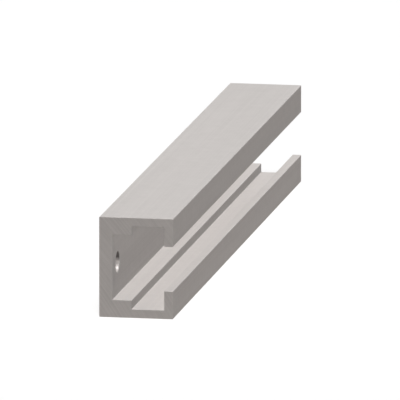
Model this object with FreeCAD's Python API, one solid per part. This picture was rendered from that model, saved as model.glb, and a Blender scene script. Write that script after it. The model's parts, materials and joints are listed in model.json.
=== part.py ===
import FreeCAD, Part
import os
from FreeCAD import Vector

# A length of lipped u-channel, as it comes from one straight extrusion. All sizes are in millimetres.
# X runs across the channel and its slot opens towards +X. Y runs along it. Z is up.
# The origin is in the middle of the underside, so the channel stands on its lower flange.

# The length that is cut off
LENGTH = 250.0

# The outside of the section
HEIGHT = 34.0
WIDTH = 25.0

# The walls of the section. A lip is measured from the outside of its flange
WEB_THICKNESS = 4.5
FLANGE_THICKNESS = 3.0
LIP_THICKNESS = 3.0
LIP_HEIGHT = 9.5

# The raised ledge in each corner between the web and a flange
LEDGE_WIDTH = 6.5
LEDGE_HEIGHT = 3.0

# The small radii that the die leaves on outside corners, on free edges and in inside corners
OUTSIDE_RADIUS = 0.3
EDGE_RADIUS = 0.2
INSIDE_RADIUS = 0.2

# The fixing holes through the web, half way up it, one near each end
HOLE_DIAMETER = 7.0
HOLE_FROM_END = 9.5

# The burr taken off the rims of the holes, and off the outline of the two sawn ends
HOLE_EDGE_BREAK = 0.2
END_EDGE_BREAK = 0.1

# Places in the section that follow from the sizes above
WEB_OUTSIDE = -WIDTH / 2
WEB_INSIDE = WEB_OUTSIDE + WEB_THICKNESS
LEDGE_FRONT = WEB_INSIDE + LEDGE_WIDTH
LEDGE_TOP = FLANGE_THICKNESS + LEDGE_HEIGHT
LIP_OUTSIDE = WIDTH / 2
LIP_INSIDE = LIP_OUTSIDE - LIP_THICKNESS


def rounded_outline(corners):
    """Closed wire through square corners, each given as (x, z, radius) and rounded by its radius."""
    arcs = []
    for index, (x, z, radius) in enumerate(corners):
        last_x, last_z, _ = corners[index - 1]
        next_x, next_z, _ = corners[(index + 1) % len(corners)]
        corner = Vector(x, 0, z)
        back = (Vector(last_x, 0, last_z) - corner).normalize() * radius
        onward = (Vector(next_x, 0, next_z) - corner).normalize() * radius
        centre = corner + back + onward
        middle = centre + (corner - centre).normalize() * radius
        arcs.append(Part.Arc(corner + back, middle, corner + onward))
    edges = []
    for arc, next_arc in zip(arcs, arcs[1:] + arcs[:1]):
        edges.append(arc.toShape())
        edges.append(Part.LineSegment(arc.EndPoint, next_arc.StartPoint).toShape())
    return Part.Wire(edges)


def section():
    """The section's face, at the channel's near end."""
    lower_half = [
        (WEB_OUTSIDE, 0, OUTSIDE_RADIUS),
        (LIP_OUTSIDE, 0, OUTSIDE_RADIUS),
        (LIP_OUTSIDE, LIP_HEIGHT, EDGE_RADIUS),
        (LIP_INSIDE, LIP_HEIGHT, EDGE_RADIUS),
        (LIP_INSIDE, FLANGE_THICKNESS, INSIDE_RADIUS),
        (LEDGE_FRONT, FLANGE_THICKNESS, INSIDE_RADIUS),
        (LEDGE_FRONT, LEDGE_TOP, EDGE_RADIUS),
        (WEB_INSIDE, LEDGE_TOP, INSIDE_RADIUS),
    ]
    upper_half = [(x, HEIGHT - z, radius) for x, z, radius in reversed(lower_half)]
    face = Part.Face(rounded_outline(lower_half + upper_half))
    face.translate(Vector(0, -LENGTH / 2, 0))
    return face


def with_broken_ends(bar):
    """The bar with the burr taken off all round its two ends."""
    along = Vector(0, 1, 0)
    ends = [face for face in bar.Faces if face.normalAt(0, 0).isParallel(along, 0.01)]
    end_edges = [edge for face in ends for edge in face.Edges]
    return bar.makeChamfer(END_EDGE_BREAK, end_edges)


def fixing_hole(y):
    """What the drill takes out of the web at this place along it, with both rims of the hole broken."""
    radius = HOLE_DIAMETER / 2
    rim_radius = radius + HOLE_EDGE_BREAK
    clear_of_web = HOLE_EDGE_BREAK
    half_outline = [
        (WEB_OUTSIDE - clear_of_web, 0),
        (WEB_OUTSIDE - clear_of_web, rim_radius),
        (WEB_OUTSIDE, rim_radius),
        (WEB_OUTSIDE + HOLE_EDGE_BREAK, radius),
        (WEB_INSIDE - HOLE_EDGE_BREAK, radius),
        (WEB_INSIDE, rim_radius),
        (WEB_INSIDE + clear_of_web, rim_radius),
        (WEB_INSIDE + clear_of_web, 0),
    ]
    middle = Vector(0, y, HEIGHT / 2)
    points = [middle + Vector(x, 0, out) for x, out in half_outline]
    face = Part.Face(Part.makePolygon(points + points[:1]))
    return face.revolve(middle, Vector(1, 0, 0), 360)


def channel():
    """The whole channel: a bar of the section, cut to length and drilled."""
    bar = with_broken_ends(section().extrude(Vector(0, LENGTH, 0)))
    hole_y = LENGTH / 2 - HOLE_FROM_END
    return bar.cut([fixing_hole(-hole_y), fixing_hole(hole_y)])


os.makedirs("parts", exist_ok=True)
channel().exportStep("parts/channel.step")
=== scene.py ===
"""The looks of a length of lipped u-channel: bare extruded aluminium on a plain white floor."""

import json
import math

import bmesh
import bpy
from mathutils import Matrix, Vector


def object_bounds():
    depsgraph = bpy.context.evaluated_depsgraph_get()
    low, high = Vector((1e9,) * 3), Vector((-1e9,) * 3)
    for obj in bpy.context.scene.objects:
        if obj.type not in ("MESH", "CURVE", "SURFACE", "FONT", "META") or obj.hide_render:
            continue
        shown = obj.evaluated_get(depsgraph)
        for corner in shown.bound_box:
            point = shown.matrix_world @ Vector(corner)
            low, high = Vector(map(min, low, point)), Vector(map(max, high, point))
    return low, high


MM = 0.001

# The aluminium's mean colour, as linear light, and how it takes light
ALUMINIUM = (0.597, 0.568, 0.551)
METAL_SHARE = 0.16
SHINE = 0.0
ROUGHNESS = 0.50

# Faces inside the channel that look out of its slot, from this depth on, get painted shade: a little
# darker and cooler colour.
# This makes up for the light that the inside throws on them. Such a face is told by the X of its normal:
# it is none below the first number, and wholly one from the second
ALUMINIUM_INSIDE_SHADED = (0.555, 0.540, 0.532)
INSIDE_DEPTH = 1.0 * MM
LOOKS_OUT = (0.5, 0.9)

# The painted shade is darkest at their foot, which begins at a lip's height and is full from this share of
# it down
INSIDE_FOOT_SHADE = 0.86
INSIDE_FOOT_SHARE = 1 / 3

# How far the marks lighten and darken the metal and change its roughness, from one extreme to the other.
# Their noise runs from 0 to 1, and these are the numbers where its extremes are reached
TONE_RANGE = 0.12
ROUGHNESS_RANGE = 0.12
NOISE_EXTREMES = (0.3, 0.7)

# Lines that the die leaves along the channel, from its dents and from its bearing faces, and a mottle
FINE_LINE_WIDTH = 0.9 * MM
BROAD_LINE_WIDTH = 7.0 * MM
BROAD_LINE_SHARE = 0.45
LINE_LENGTH = 260.0 * MM
LINE_DEPTH = 0.006 * MM
MOTTLE_SIZE = 4.0 * MM
MOTTLE_SHARE = 0.3

# Faint scratches from handling, which run nearly along the channel, where the noise is this high
SCRATCH_WIDTH = 0.5 * MM
SCRATCH_LENGTH = 45.0 * MM
SCRATCH_TURN = math.radians(14)
SCRATCH_NOISE = (0.66, 0.74)
SCRATCH_LIGHT = 0.05

# The outside corners are rubbed bright in patches, where the noise is this high
RUB_WIDTH = 0.7 * MM
RUB_PATCH = 9.0 * MM
RUB_NOISE = (0.4, 0.6)
RUB_LIGHT = 0.08

# The saw's marks on the ends are arcs about its centre, which lies off to the lower left
SAW_CENTRE_X = -150.0 * MM
SAW_CENTRE_Z = -90.0 * MM
SAW_MARK_SPACING = 0.9 * MM
SAW_MARK_DEPTH = 0.006 * MM
END_DEPTH = 0.2 * MM

# The drilled holes: rings from the drill, on a wall that is smoother than the rest. Its upper half is
# darkened, because the suns throw no shadow there. It darkens between these heights above the hole's
# centre, as shares of the radius
DRILL_RING_SPACING = 0.25 * MM
HOLE_RIM = 0.35 * MM
HOLE_METAL_SHARE = 0.6
HOLE_ROUGHNESS = 0.5
HOLE_ROOF_SHADE = 0.25
HOLE_ROOF_HEIGHTS = (-0.1, 0.3)

# The floor looks white, and lights the channel from below as a warm grey one would
FLOOR_SIZE = 3.0
FLOOR_WHITE = 0.80
FLOOR_BOUNCE = (0.311, 0.287, 0.271)
FLOOR_ROUGHNESS = 0.9

# The camera, set by matching the channel's corners in the photograph
CAMERA_AZIMUTH = 10.13
CAMERA_ELEVATION = 10.785
CAMERA_LENS = 1650.0
CAMERA_SENSOR = 36.0
VIEW_WIDTH = 135.80 * MM
AIM_LEFT = 0.72 * MM
AIM_DOWN = 0.41 * MM

# Light on a face that looks straight up, or to one side. At 1 a colour renders as it is written
LIGHT_ALL_ROUND = 0.08
SUN_ON_TOP = 0.871
SUN_ON_SLOT_SIDE = 0.115
SUN_ON_NEAR_END = 0.182
FILL_ON_BACK_AND_FAR_END = 0.16
SUN_SPREAD = math.radians(20)

# The sun that throws the shadow lights the floor alone. It leans to the slot side and to the near end by
# these shares of its height, so that the shadow falls behind the channel
SHADOW_SUN = 0.20
SHADOW_LEAN_TO_SLOT_SIDE = 1 / 6
SHADOW_LEAN_TO_NEAR_END = 1 / 2

# A corner of the mesh this near to the channel's slot side lies on it
ON_SLOT_SIDE = 0.1 * MM


def feed(tree, socket, given):
    """Links an output to this input, or sets the input to a number or a colour."""
    if isinstance(given, bpy.types.NodeSocket):
        tree.links.new(given, socket)
    else:
        socket.default_value = given


def add(tree, kind, inputs, **settings):
    """A new node, with its settings made and its inputs fed by name or by number."""
    made = tree.nodes.new(kind)
    for name, value in settings.items():
        setattr(made, name, value)
    for key, given in inputs.items():
        feed(tree, made.inputs[key], given)
    return made


def work_out(tree, operation, *given):
    """The result of a sum on numbers or outputs."""
    return add(tree, "ShaderNodeMath", dict(enumerate(given)), operation=operation).outputs[0]


def map_to(tree, value, start, end, low=0.0, high=1.0):
    """value mapped from the range start to end on to low to high, and held inside it."""
    inputs = {"Value": value, "From Min": start, "From Max": end, "To Min": low, "To Max": high}
    return add(tree, "ShaderNodeMapRange", inputs).outputs["Result"]


def swing(tree, value, centre, span):
    """A number about centre that follows value, which runs from 0 to 1, over this span."""
    return map_to(tree, value, 0.0, 1.0, centre - span / 2, centre + span / 2)


def blend(tree, share, first, second):
    """first where share is 0, second where it is 1."""
    return add(tree, "ShaderNodeMix", {"Factor": share, "A": first, "B": second}).outputs["Result"]


def blend_colours(tree, share, first, second):
    """The colour first where share is 0, second where it is 1."""
    change = [after - before for before, after in zip(first, second)]
    inputs = {0: share, 1: change, 2: first}
    return add(tree, "ShaderNodeVectorMath", inputs, operation="MULTIPLY_ADD").outputs["Vector"]


def parts_of(tree, place):
    """The X, Y and Z of a place."""
    split = add(tree, "ShaderNodeSeparateXYZ", {"Vector": place}).outputs
    return split["X"], split["Y"], split["Z"]


def distance_of(tree, across, up):
    """How far off a place is that lies this far across and this far up."""
    flat = add(tree, "ShaderNodeCombineXYZ", {"X": across, "Y": up}).outputs["Vector"]
    return add(tree, "ShaderNodeVectorMath", {0: flat}, operation="LENGTH").outputs["Value"]


def start_group(name, inputs, outputs):
    """A node group with these named inputs and outputs, with its inner ends."""
    group = bpy.data.node_groups.new(name, "ShaderNodeTree")
    for socket, kind in inputs.items():
        group.interface.new_socket(socket, in_out="INPUT", socket_type=kind)
    for socket in outputs:
        group.interface.new_socket(socket, in_out="OUTPUT", socket_type="NodeSocketFloat")
    given = group.nodes.new("NodeGroupInput").outputs
    results = group.nodes.new("NodeGroupOutput").inputs
    return group, given, results


def streak_group():
    """Uneven streaks of one width across the channel and one length along it."""
    inputs = {"Place": "NodeSocketVector", "Width": "NodeSocketFloat", "Length": "NodeSocketFloat"}
    group, given, results = start_group("streaks", inputs, ["Streaks"])
    widths = {"X": given["Width"], "Y": given["Length"], "Z": given["Width"]}
    size = add(group, "ShaderNodeCombineXYZ", widths).outputs["Vector"]
    spread = add(group, "ShaderNodeVectorMath", {0: given["Place"], 1: size}, operation="DIVIDE")
    noise = {"Vector": spread.outputs["Vector"], "Scale": 1.0, "Detail": 3.0, "Roughness": 0.6}
    feed(group, results["Streaks"], add(group, "ShaderNodeTexNoise", noise).outputs["Fac"])
    return group


def saw_mark_group():
    """Shallow arcs about the saw's centre, in the plane of the sawn ends."""
    inputs = {"Place": "NodeSocketVector", "Spacing": "NodeSocketFloat"}
    group, given, results = start_group("saw_marks", inputs, ["Marks"])
    x, _, z = parts_of(group, given["Place"])
    across = work_out(group, "SUBTRACT", x, SAW_CENTRE_X)
    up = work_out(group, "SUBTRACT", z, SAW_CENTRE_Z)
    turns = work_out(group, "DIVIDE", distance_of(group, across, up), given["Spacing"])
    noise = {"W": turns, "Scale": 1.0, "Detail": 2.0, "Roughness": 0.6}
    marks = add(group, "ShaderNodeTexNoise", noise, noise_dimensions="1D").outputs["Fac"]
    feed(group, results["Marks"], marks)
    return group


def drilled_hole_group(hole_y, hole_z, hole_radius):
    """Where the fixing holes' walls and rims are, and the drill's rings on them."""
    inputs = {"Place": "NodeSocketVector", "Ring Spacing": "NodeSocketFloat"}
    group, given, results = start_group("drilled_holes", inputs, ["Share", "Roof", "Rings"])
    x, y, z = parts_of(group, given["Place"])
    along = work_out(group, "SUBTRACT", work_out(group, "ABSOLUTE", y), hole_y)
    up = work_out(group, "SUBTRACT", z, hole_z)
    share = map_to(group, distance_of(group, along, up), hole_radius + HOLE_RIM, hole_radius)
    feed(group, results["Share"], share)
    roof = map_to(group, up, *[height * hole_radius for height in HOLE_ROOF_HEIGHTS])
    feed(group, results["Roof"], work_out(group, "MULTIPLY", share, roof))
    turns = work_out(group, "DIVIDE", x, given["Ring Spacing"])
    noise = {"W": turns, "Scale": 1.0, "Detail": 1.0}
    rings = add(group, "ShaderNodeTexNoise", noise, noise_dimensions="1D").outputs["Fac"]
    feed(group, results["Rings"], rings)
    return group


def corner_group(low, high, lip_height):
    """1 on the long outside corners of the section and on the lips' outer edges, and 0 away from them."""
    inputs = {"Place": "NodeSocketVector", "Width": "NodeSocketFloat"}
    group, given, results = start_group("outside_corners", inputs, ["Share"])
    x, _, z = parts_of(group, given["Place"])
    from_middle = work_out(group, "ABSOLUTE", work_out(group, "SUBTRACT", z, (low.z + high.z) / 2))
    inwards = work_out(group, "SUBTRACT", (high.z - low.z) / 2, from_middle)
    from_web = work_out(group, "SUBTRACT", x, low.x)
    from_slot = work_out(group, "SUBTRACT", high.x, x)
    from_side = work_out(group, "MINIMUM", from_web, from_slot)
    from_corner = work_out(group, "ADD", from_side, inwards)
    past_lip = work_out(group, "ABSOLUTE", work_out(group, "SUBTRACT", inwards, lip_height))
    from_lip = work_out(group, "ADD", from_slot, past_lip)
    nearest = work_out(group, "MINIMUM", from_corner, from_lip)
    share = work_out(group, "SUBTRACT", 1.0, work_out(group, "DIVIDE", nearest, given["Width"]))
    feed(group, results["Share"], work_out(group, "MAXIMUM", share, 0.0))
    return group


def group_node(tree, group, inputs):
    """A node group placed in a material."""
    made = tree.nodes.new("ShaderNodeGroup")
    made.node_tree = group
    for key, given in inputs.items():
        feed(tree, made.inputs[key], given)
    return made.outputs


def streaks_at(tree, streaks, place, width, length):
    """The streak group's pattern at a place, in this width and length."""
    return group_node(tree, streaks, {"Place": place, "Width": width, "Length": length})["Streaks"]


def worked_marks(tree, streaks, place, sawn, hole):
    """The die's, the saw's and the drill's marks, each on its own faces, and the tone that they give."""
    fine = streaks_at(tree, streaks, place, FINE_LINE_WIDTH, LINE_LENGTH)
    broad = streaks_at(tree, streaks, place, BROAD_LINE_WIDTH, LINE_LENGTH)
    mottle = streaks_at(tree, streaks, place, MOTTLE_SIZE, MOTTLE_SIZE)
    saw = group_node(tree, saw_mark_group(), {"Place": place, "Spacing": SAW_MARK_SPACING})["Marks"]
    marks = blend(tree, BROAD_LINE_SHARE, fine, broad)
    marks = blend(tree, sawn, marks, saw)
    marks = blend(tree, hole["Share"], marks, hole["Rings"])
    tone = map_to(tree, blend(tree, MOTTLE_SHARE, marks, mottle), *NOISE_EXTREMES)
    return marks, tone


def handling(tree, streaks, place, corners):
    """Faint scratches all over, and bright rubbed patches along the outside corners."""
    turned = {"Vector": place, "Rotation": (SCRATCH_TURN, 0.0, SCRATCH_TURN)}
    turned = add(tree, "ShaderNodeMapping", turned).outputs["Vector"]
    scratches = streaks_at(tree, streaks, turned, SCRATCH_WIDTH, SCRATCH_LENGTH)
    scratches = map_to(tree, scratches, *SCRATCH_NOISE)
    patches = map_to(tree, streaks_at(tree, streaks, place, RUB_PATCH, RUB_PATCH), *RUB_NOISE)
    return scratches, work_out(tree, "MULTIPLY", corners, patches)


def inside_faces(tree, on_surface, high, lip_height):
    """Faces inside the channel that look out of its slot, and the foot of such faces, where shade is
    painted.
    """
    x, _, z = parts_of(tree, on_surface["Object"])
    looks_out = map_to(tree, parts_of(tree, on_surface["Normal"])[0], *LOOKS_OUT)
    behind_lips = map_to(tree, x, high.x - INSIDE_DEPTH, high.x - 2 * INSIDE_DEPTH)
    inside = work_out(tree, "MULTIPLY", looks_out, behind_lips)
    low_down = map_to(tree, z, lip_height, lip_height * INSIDE_FOOT_SHARE)
    return inside, work_out(tree, "MULTIPLY", inside, low_down)


def aluminium(low, high, lip_height, hole_y, hole_z, hole_radius):
    """The channel's material: drawn along its length, sawn at its ends, drilled, and a little handled,
    with painted shade in the holes' upper halves and on the inside faces.
    """
    material = bpy.data.materials.new("extruded_aluminium")
    material.use_nodes = True
    tree = material.node_tree
    shader = tree.nodes["Principled BSDF"]
    on_surface = tree.nodes.new("ShaderNodeTexCoord").outputs
    place = on_surface["Object"]

    hole_nodes = drilled_hole_group(hole_y, hole_z, hole_radius)
    hole = group_node(tree, hole_nodes, {"Place": place, "Ring Spacing": DRILL_RING_SPACING})
    corner_nodes = corner_group(low, high, lip_height)
    corners = group_node(tree, corner_nodes, {"Place": place, "Width": RUB_WIDTH})["Share"]
    from_middle = work_out(tree, "ABSOLUTE", parts_of(tree, place)[1])
    sawn = map_to(tree, from_middle, high.y - END_DEPTH, high.y - END_DEPTH / 2)
    streaks = streak_group()
    marks, tone = worked_marks(tree, streaks, place, sawn, hole)
    scratches, rub = handling(tree, streaks, place, corners)
    inside, foot = inside_faces(tree, on_surface, high, lip_height)

    shade = swing(tree, tone, 1.0, TONE_RANGE)
    shade = work_out(tree, "ADD", shade, work_out(tree, "MULTIPLY", scratches, SCRATCH_LIGHT))
    shade = work_out(tree, "ADD", shade, work_out(tree, "MULTIPLY", rub, RUB_LIGHT))
    # Painted shade in the holes' upper halves, and on the inside faces, darkest at their foot
    shade = work_out(tree, "MULTIPLY", shade, blend(tree, hole["Roof"], 1.0, HOLE_ROOF_SHADE))
    shade = work_out(tree, "MULTIPLY", shade, blend(tree, foot, 1.0, INSIDE_FOOT_SHADE))
    metal = blend_colours(tree, inside, ALUMINIUM, ALUMINIUM_INSIDE_SHADED)
    colour = add(tree, "ShaderNodeVectorMath", {0: metal, "Scale": shade}, operation="SCALE")
    feed(tree, shader.inputs["Base Color"], colour.outputs["Vector"])

    roughness = swing(tree, tone, ROUGHNESS, -ROUGHNESS_RANGE)
    roughness = work_out(tree, "SUBTRACT", roughness, work_out(tree, "MULTIPLY", rub, ROUGHNESS_RANGE))
    roughness = blend(tree, hole["Share"], roughness, HOLE_ROUGHNESS)
    feed(tree, shader.inputs["Roughness"], roughness)
    metal_share = blend(tree, hole["Share"], METAL_SHARE, HOLE_METAL_SHARE)
    feed(tree, shader.inputs["Metallic"], metal_share)
    shader.inputs["Specular IOR Level"].default_value = SHINE

    depth = blend(tree, sawn, LINE_DEPTH / MM, SAW_MARK_DEPTH / MM)
    height = work_out(tree, "MULTIPLY", marks, depth)
    bump = add(tree, "ShaderNodeBump", {"Height": height, "Distance": MM, "Strength": 1.0})
    feed(tree, shader.inputs["Normal"], bump.outputs["Normal"])
    return material


def in_view(tree):
    """1 for what the camera sees, also in a reflection or through glass, and 0 for light that spreads."""
    path = tree.nodes.new("ShaderNodeLightPath").outputs
    seen = work_out(tree, "MAXIMUM", path["Is Camera Ray"], path["Is Glossy Ray"])
    return work_out(tree, "MAXIMUM", seen, path["Is Transmission Ray"])


def white_floor():
    """The floor's material, with just enough glow to look white where nothing shades it."""
    material = bpy.data.materials.new("white_floor")
    material.use_nodes = True
    tree = material.node_tree
    shader = tree.nodes["Principled BSDF"]
    seen = in_view(tree)
    white = (FLOOR_WHITE, FLOOR_WHITE, FLOOR_WHITE)
    feed(tree, shader.inputs["Base Color"], blend_colours(tree, seen, FLOOR_BOUNCE, white))
    glow = 1.0 - FLOOR_WHITE * (LIGHT_ALL_ROUND + SUN_ON_TOP + SHADOW_SUN)
    shader.inputs["Emission Color"].default_value = (1, 1, 1, 1)
    feed(tree, shader.inputs["Emission Strength"], work_out(tree, "MULTIPLY", seen, glow))
    shader.inputs["Roughness"].default_value = FLOOR_ROUGHNESS
    shader.inputs["Specular IOR Level"].default_value = 0.0
    return material


def plain_floor():
    """A flat square floor at the channel's foot."""
    sheet = bmesh.new()
    bmesh.ops.create_grid(sheet, x_segments=1, y_segments=1, size=FLOOR_SIZE / 2)
    mesh = bpy.data.meshes.new("floor")
    sheet.to_mesh(mesh)
    sheet.free()
    mesh.materials.append(white_floor())
    floor = bpy.data.objects.new("floor", mesh)
    bpy.context.scene.collection.objects.link(floor)
    return floor


def surroundings():
    """Even light from all round, which the camera and reflections see as white."""
    world = bpy.data.worlds.new("surroundings")
    bpy.context.scene.world = world
    world.use_nodes = True
    tree = world.node_tree
    strength = map_to(tree, in_view(tree), 0.0, 1.0, LIGHT_ALL_ROUND, 1.0)
    background = tree.nodes["Background"]
    background.inputs["Color"].default_value = (1, 1, 1, 1)
    feed(tree, background.inputs["Strength"], strength)


def sun(name, towards, shadow):
    """A sun that lies this way. The vector's parts are its light on faces that look along the axes."""
    towards = Vector(towards)
    lamp = bpy.data.lights.new(name, "SUN")
    lamp.energy = math.pi * towards.length
    lamp.angle = SUN_SPREAD
    lamp.use_shadow = shadow
    lamp_object = bpy.data.objects.new(name, lamp)
    lamp_object.rotation_euler = towards.to_track_quat("Z", "Y").to_euler()
    bpy.context.scene.collection.objects.link(lamp_object)
    return lamp_object


def suns(floor):
    """Two suns without shadows light the channel. A third lights the floor alone and throws its shadow."""
    sun("sun", (SUN_ON_SLOT_SIDE, -SUN_ON_NEAR_END, SUN_ON_TOP), shadow=False)
    sun("fill", (-FILL_ON_BACK_AND_FAR_END, FILL_ON_BACK_AND_FAR_END, 0), shadow=False)
    lean = (SHADOW_LEAN_TO_SLOT_SIDE, -SHADOW_LEAN_TO_NEAR_END, 1)
    shadow_sun = sun("shadow_sun", SHADOW_SUN * Vector(lean), shadow=True)
    lit = bpy.data.collections.new("lit_by_shadow_sun")
    lit.objects.link(floor)
    shadow_sun.light_linking.receiver_collection = lit


def camera(low, high):
    """The camera, far off with a very long lens, because the photograph shows next to no perspective."""
    azimuth = math.radians(CAMERA_AZIMUTH)
    elevation = math.radians(CAMERA_ELEVATION)
    flat = math.cos(elevation)
    back = Vector((math.sin(azimuth) * flat, -math.cos(azimuth) * flat, math.sin(elevation)))
    aim = (low + high) / 2 - Vector((AIM_LEFT, 0, AIM_DOWN))
    data = bpy.data.cameras.new("camera")
    data.lens = CAMERA_LENS
    data.sensor_width = CAMERA_SENSOR
    distance = VIEW_WIDTH * CAMERA_LENS / CAMERA_SENSOR
    data.clip_start = distance / 10
    data.clip_end = distance * 2
    camera_object = bpy.data.objects.new("camera", data)
    camera_object.location = aim + back * distance
    camera_object.rotation_euler = back.to_track_quat("Z", "Y").to_euler()
    bpy.context.scene.collection.objects.link(camera_object)
    bpy.context.scene.camera = camera_object


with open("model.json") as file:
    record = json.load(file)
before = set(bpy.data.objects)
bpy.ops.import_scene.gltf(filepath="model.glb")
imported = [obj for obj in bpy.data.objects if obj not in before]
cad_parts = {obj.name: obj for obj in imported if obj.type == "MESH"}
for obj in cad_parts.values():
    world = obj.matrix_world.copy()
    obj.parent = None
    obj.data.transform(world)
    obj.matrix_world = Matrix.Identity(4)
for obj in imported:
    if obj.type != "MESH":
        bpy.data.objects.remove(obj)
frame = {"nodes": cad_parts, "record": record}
cad_low, cad_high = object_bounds()
channel = frame["nodes"]["channel"]
fixing = next(mount for mount in frame["record"]["mounts"] if mount["name"] == "fixing_holes")
slot_side = [point.co for point in channel.data.vertices if point.co.x > cad_high.x - ON_SLOT_SIDE]
finish = aluminium(
    low=cad_low,
    high=cad_high,
    lip_height=max(point.z for point in slot_side if point.z < cad_high.z / 2),
    hole_y=fixing["dims"]["spacing_x_mm"] * MM / 2,
    hole_z=fixing["pos_m"][2],
    hole_radius=fixing["dims"]["hole_r_mm"] * MM,
)
for slot in channel.material_slots:
    slot.material = finish

suns(plain_floor())
surroundings()
camera(cad_low, cad_high)
bpy.context.scene.view_settings.view_transform = "Standard"
